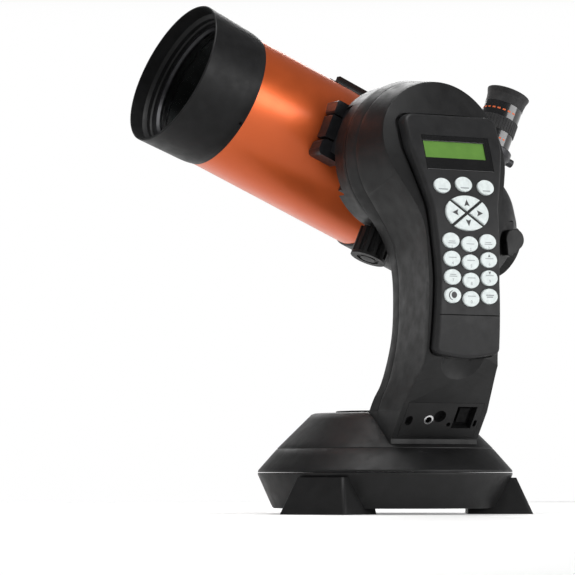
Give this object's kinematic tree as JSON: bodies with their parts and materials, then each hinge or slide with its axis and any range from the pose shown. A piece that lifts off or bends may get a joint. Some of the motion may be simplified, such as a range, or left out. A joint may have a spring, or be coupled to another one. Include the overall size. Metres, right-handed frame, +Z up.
{
  "type": "maksutov telescope",
  "caption": "Computerised Maksutov telescope: short orange tube with black cells and an eyepiece on top, carried by a motorised fork arm on a round base, with a removable hand control.",
  "frame": {"origin": "on the azimuth axis, in the plane the three foot blocks stand on, where the three tripod sockets open", "axes": "+Z up along the azimuth axis; +Y along the altitude axis from the arm towards the tube; the tube points towards -X and upwards"},
  "size_m": [0.3745, 0.2581, 0.4236],
  "materials": {
    "aluminium": "turned",
    "battery": "satin",
    "black_aluminium": "black anodised",
    "black_cast": "satin",
    "black_plastic": "fine textured",
    "chrome": "polished",
    "glass": "coated",
    "gloss_black": "gloss",
    "hand_control_plastic": "matt",
    "key": "satin",
    "lcd": "lit green",
    "mirror": "polished",
    "orange_tube": "metallic satin",
    "rubber": "matt",
    "steel": "machined"
  },
  "bodies": {
    "base": {"base_housing": "black_plastic", "bottom_plate": "black_plastic", "rubber_feet": "rubber", "azimuth_hub": "steel"},
    "turntable": {"base_cover": "black_plastic", "battery_pack": "battery", "arm_outer_shell": "black_plastic", "arm_inner_shell": "black_plastic", "port_panel": "black_plastic", "power_jack": "chrome"},
    "power_switch": {"power_switch": "black_plastic"},
    "battery_lid": {"battery_lid": "black_plastic"},
    "saddle": {"saddle_disc": "black_cast", "altitude_shaft": "steel"},
    "saddle_jaw": {"saddle_jaw": "black_cast"},
    "clamp_knob": {"clamp_knob": "black_plastic"},
    "tube": {"main_tube": "orange_tube", "front_cell": "black_cast", "retaining_ring": "black_aluminium", "corrector_lens": "glass", "secondary_baffle": "black_aluminium", "rear_cell": "black_cast", "primary_baffle_tube": "black_aluminium", "visual_back": "black_aluminium", "dovetail_bar": "black_aluminium", "finder_bracket": "black_plastic"},
    "primary_mirror": {"primary_mirror": "mirror"},
    "focus_knob": {"focus_knob": "rubber"},
    "flip_mirror": {"flip_mirror": "aluminium", "flip_mirror_knob": "black_plastic"},
    "port_cap": {"photo_port_cap": "black_plastic"},
    "eyepiece": {"eyepiece_barrel": "chrome", "eyepiece_body": "gloss_black", "eyepiece_grip": "rubber", "eyecup": "rubber", "eyepiece_lens": "glass"},
    "eyepiece_screw": {"eyepiece_clamp_screw": "black_aluminium"},
    "hand_control": {"hc_front_shell": "hand_control_plastic", "hc_back_shell": "hand_control_plastic", "lcd_window": "gloss_black", "lcd_display": "lcd"},
    "key_align": {"key_align": "key"},
    "key_enter": {"key_enter": "key"},
    "key_undo": {"key_undo": "key"},
    "key_1": {"key_1": "key"},
    "key_2": {"key_2": "key"},
    "key_3": {"key_3": "key"},
    "key_4": {"key_4": "key"},
    "key_5": {"key_5": "key"},
    "key_6": {"key_6": "key"},
    "key_7": {"key_7": "key"},
    "key_8": {"key_8": "key"},
    "key_9": {"key_9": "key"},
    "key_info": {"key_info": "key"},
    "key_0": {"key_0": "key"},
    "key_menu": {"key_menu": "key"},
    "key_up": {"key_up": "key"},
    "key_down": {"key_down": "key"},
    "key_left": {"key_left": "key"},
    "key_right": {"key_right": "key"}
  },
  "joints": [
    {"name": "azimuth_turn", "type": "hinge", "parent": "base", "child": "turntable", "pos_m": [0, 0, 0.05], "axis": [0, 0, 1], "continuous": true},
    {"name": "altitude_turn", "type": "hinge", "parent": "turntable", "child": "saddle", "pos_m": [0, -0.04, 0.2945], "axis": [0, 1, 0], "range_deg": [-45, 67]},
    {"name": "tube_slide", "type": "slide", "parent": "saddle", "child": "tube", "axis": [-0.9205, 0, 0.3907], "range_m": [-0.02, 0.02]},
    {"name": "clamp_knob_turn", "type": "hinge", "parent": "saddle", "child": "clamp_knob", "pos_m": [-0.02091, -0.019, 0.22733], "axis": [0.3907, 0, 0.9205], "range_deg": [0, 720]},
    {"name": "saddle_jaw_slide", "type": "slide", "parent": "saddle", "child": "saddle_jaw", "axis": [-0.3907, 0, -0.9205], "range_m": [0, 0.003]},
    {"name": "focus_turn", "type": "hinge", "parent": "tube", "child": "focus_knob", "pos_m": [0.14457, 0.093, 0.21792], "axis": [0.9205, 0, -0.3907], "range_deg": [-1440, 1440]},
    {"name": "mirror_focus_slide", "type": "slide", "parent": "tube", "child": "primary_mirror", "axis": [-0.9205, 0, 0.3907], "range_m": [-0.004, 0.004]},
    {"name": "flip_mirror_turn", "type": "hinge", "parent": "tube", "child": "flip_mirror", "pos_m": [0.13769, 0.06, 0.23497], "axis": [0, 1, 0], "range_deg": [0, 60]},
    {"name": "port_cap_pull", "type": "slide", "parent": "tube", "child": "port_cap", "axis": [0.9205, 0, -0.3907], "range_m": [0, 0.012]},
    {"name": "eyepiece_lift", "type": "slide", "parent": "tube", "child": "eyepiece", "axis": [0.3907, 0, 0.9205], "range_m": [0, 0.045]},
    {"name": "eyepiece_screw_turn", "type": "hinge", "parent": "tube", "child": "eyepiece_screw", "pos_m": [0.16088, 0.06, 0.30779], "axis": [0.9205, 0, -0.3907], "range_deg": [0, 720]},
    {"name": "battery_lid_lift", "type": "slide", "parent": "turntable", "child": "battery_lid", "axis": [0, 0, 1], "range_m": [0, 0.02]},
    {"name": "power_switch_slide", "type": "slide", "parent": "turntable", "child": "power_switch", "axis": [0, -0.5724, 0.82], "range_m": [0, 0.003]},
    {"name": "hand_control_pull", "type": "slide", "parent": "turntable", "child": "hand_control", "axis": [0, -1, 0], "range_m": [0, 0.05]},
    {"name": "key_align_press", "type": "slide", "parent": "hand_control", "child": "key_align", "axis": [0, 0.9706, -0.2406], "range_m": [0, 0.001], "stiffness_N_per_m": 300},
    {"name": "key_enter_press", "type": "slide", "parent": "hand_control", "child": "key_enter", "axis": [0, 0.9693, -0.2457], "range_m": [0, 0.001], "stiffness_N_per_m": 300},
    {"name": "key_undo_press", "type": "slide", "parent": "hand_control", "child": "key_undo", "axis": [0, 0.9706, -0.2406], "range_m": [0, 0.001], "stiffness_N_per_m": 300},
    {"name": "key_1_press", "type": "slide", "parent": "hand_control", "child": "key_1", "axis": [0, 0.9936, -0.1131], "range_m": [0, 0.001], "stiffness_N_per_m": 300},
    {"name": "key_2_press", "type": "slide", "parent": "hand_control", "child": "key_2", "axis": [0, 0.9943, -0.1063], "range_m": [0, 0.001], "stiffness_N_per_m": 300},
    {"name": "key_3_press", "type": "slide", "parent": "hand_control", "child": "key_3", "axis": [0, 0.9936, -0.1131], "range_m": [0, 0.001], "stiffness_N_per_m": 300},
    {"name": "key_4_press", "type": "slide", "parent": "hand_control", "child": "key_4", "axis": [0, 0.9975, -0.0711], "range_m": [0, 0.001], "stiffness_N_per_m": 300},
    {"name": "key_5_press", "type": "slide", "parent": "hand_control", "child": "key_5", "axis": [0, 0.9979, -0.0643], "range_m": [0, 0.001], "stiffness_N_per_m": 300},
    {"name": "key_6_press", "type": "slide", "parent": "hand_control", "child": "key_6", "axis": [0, 0.9975, -0.0711], "range_m": [0, 0.001], "stiffness_N_per_m": 300},
    {"name": "key_7_press", "type": "slide", "parent": "hand_control", "child": "key_7", "axis": [0, 0.9996, -0.0291], "range_m": [0, 0.001], "stiffness_N_per_m": 300},
    {"name": "key_8_press", "type": "slide", "parent": "hand_control", "child": "key_8", "axis": [0, 0.9998, -0.0223], "range_m": [0, 0.001], "stiffness_N_per_m": 300},
    {"name": "key_9_press", "type": "slide", "parent": "hand_control", "child": "key_9", "axis": [0, 0.9996, -0.0291], "range_m": [0, 0.001], "stiffness_N_per_m": 300},
    {"name": "key_info_press", "type": "slide", "parent": "hand_control", "child": "key_info", "axis": [0, 0.9999, 0.0129], "range_m": [0, 0.001], "stiffness_N_per_m": 300},
    {"name": "key_0_press", "type": "slide", "parent": "hand_control", "child": "key_0", "axis": [0, 0.9998, 0.0197], "range_m": [0, 0.001], "stiffness_N_per_m": 300},
    {"name": "key_menu_press", "type": "slide", "parent": "hand_control", "child": "key_menu", "axis": [0, 0.9999, 0.0129], "range_m": [0, 0.001], "stiffness_N_per_m": 300},
    {"name": "key_up_press", "type": "slide", "parent": "hand_control", "child": "key_up", "axis": [0, 0.984, -0.1783], "range_m": [0, 0.001], "stiffness_N_per_m": 300},
    {"name": "key_down_press", "type": "slide", "parent": "hand_control", "child": "key_down", "axis": [0, 0.984, -0.1783], "range_m": [0, 0.001], "stiffness_N_per_m": 300},
    {"name": "key_left_press", "type": "slide", "parent": "hand_control", "child": "key_left", "axis": [0, 0.984, -0.1783], "range_m": [0, 0.001], "stiffness_N_per_m": 300},
    {"name": "key_right_press", "type": "slide", "parent": "hand_control", "child": "key_right", "axis": [0, 0.984, -0.1783], "range_m": [0, 0.001], "stiffness_N_per_m": 300}
  ],
  "couplings": [
    {"joint": "clamp_knob_turn", "follows": "saddle_jaw_slide", "rad_per_m": 4188},
    {"joint": "focus_turn", "follows": "mirror_focus_slide", "rad_per_m": 6283}
  ]
}
